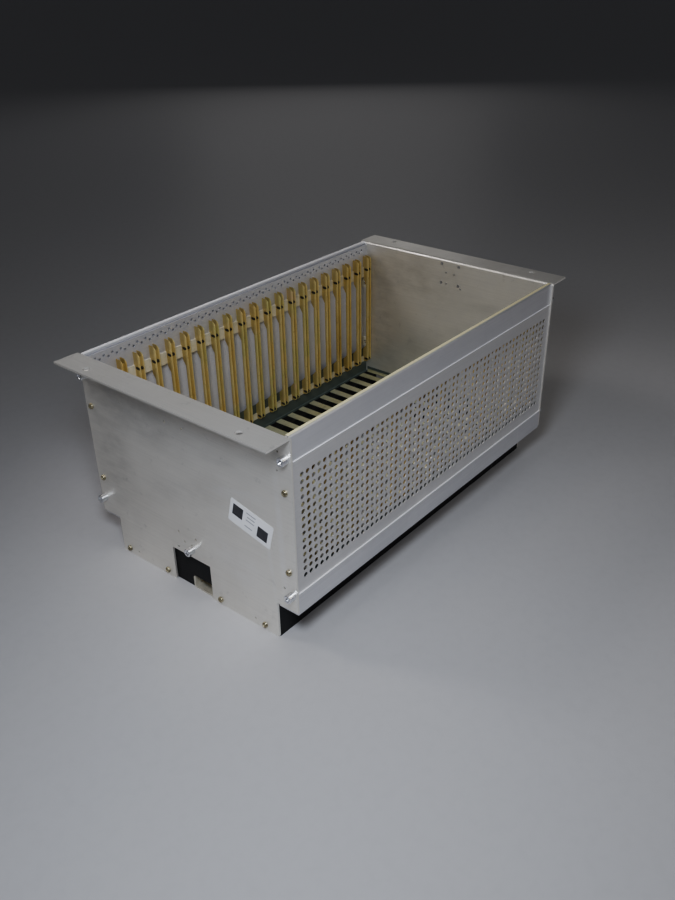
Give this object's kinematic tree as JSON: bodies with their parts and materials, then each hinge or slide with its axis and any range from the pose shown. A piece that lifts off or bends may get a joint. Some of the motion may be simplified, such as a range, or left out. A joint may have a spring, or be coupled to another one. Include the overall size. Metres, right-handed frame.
{
  "type": "subrack card cage",
  "caption": "Open 19-inch subrack frame with card guides, perforated sides, slotted rear base and rack ears, lying on its back",
  "frame": {"origin": "centre of the bounding box in X and Y, on the rear edges of the end plates that carry the cage", "axes": "+Z points out of the open front, X runs along the rack width, Y along the rack height"},
  "size_m": [0.4826, 0.264, 0.2142],
  "materials": {
    "end_plate": "clear-passivated aluminium sheet, dull grey with fine scuffs",
    "cover": "perforated aluminium sheet, dull grey",
    "rail": "mill-finish aluminium rails",
    "dark_rail": "matt black paint on the recessed foot rails",
    "base": "zinc-plated steel with a yellowish passivation",
    "chromated": "yellow-chromated zinc plate",
    "standoff": "bright zinc plate",
    "screw": "yellow zinc plate"
  },
  "bodies": {
    "root": {"end_plate_near": "end_plate", "end_plate_far": "end_plate", "cover_right": "cover", "cover_left": "cover", "front_rail_right": "rail", "front_rail_left": "rail", "front_strip_right": "chromated", "front_strip_left": "chromated", "rear_rail_right": "rail", "rear_rail_left": "rail", "rear_strip_right": "chromated", "rear_strip_left": "chromated", "foot_rail_right": "dark_rail", "foot_rail_left": "dark_rail", "slotted_base": "base", "centre_beam": "chromated", "standoffs": "standoff", "screws": "screw", "guide_right_01": "chromated", "guide_right_02": "chromated", "guide_right_03": "chromated", "guide_right_04": "chromated", "guide_right_05": "chromated", "guide_right_06": "chromated", "guide_right_07": "chromated", "guide_right_08": "chromated", "guide_right_09": "chromated", "guide_right_10": "chromated", "guide_right_11": "chromated", "guide_right_12": "chromated", "guide_right_13": "chromated", "guide_right_14": "chromated", "guide_right_15": "chromated", "guide_right_16": "chromated", "guide_right_17": "chromated", "guide_right_18": "chromated", "guide_right_19": "chromated", "guide_right_20": "chromated", "guide_right_21": "chromated", "guide_left_01": "chromated", "guide_left_02": "chromated", "guide_left_03": "chromated", "guide_left_04": "chromated", "guide_left_05": "chromated", "guide_left_06": "chromated", "guide_left_07": "chromated", "guide_left_08": "chromated", "guide_left_09": "chromated", "guide_left_10": "chromated", "guide_left_11": "chromated", "guide_left_12": "chromated", "guide_left_13": "chromated", "guide_left_14": "chromated", "guide_left_15": "chromated", "guide_left_16": "chromated", "guide_left_17": "chromated", "guide_left_18": "chromated", "guide_left_19": "chromated", "guide_left_20": "chromated", "guide_left_21": "chromated"}
  },
  "joints": []
}
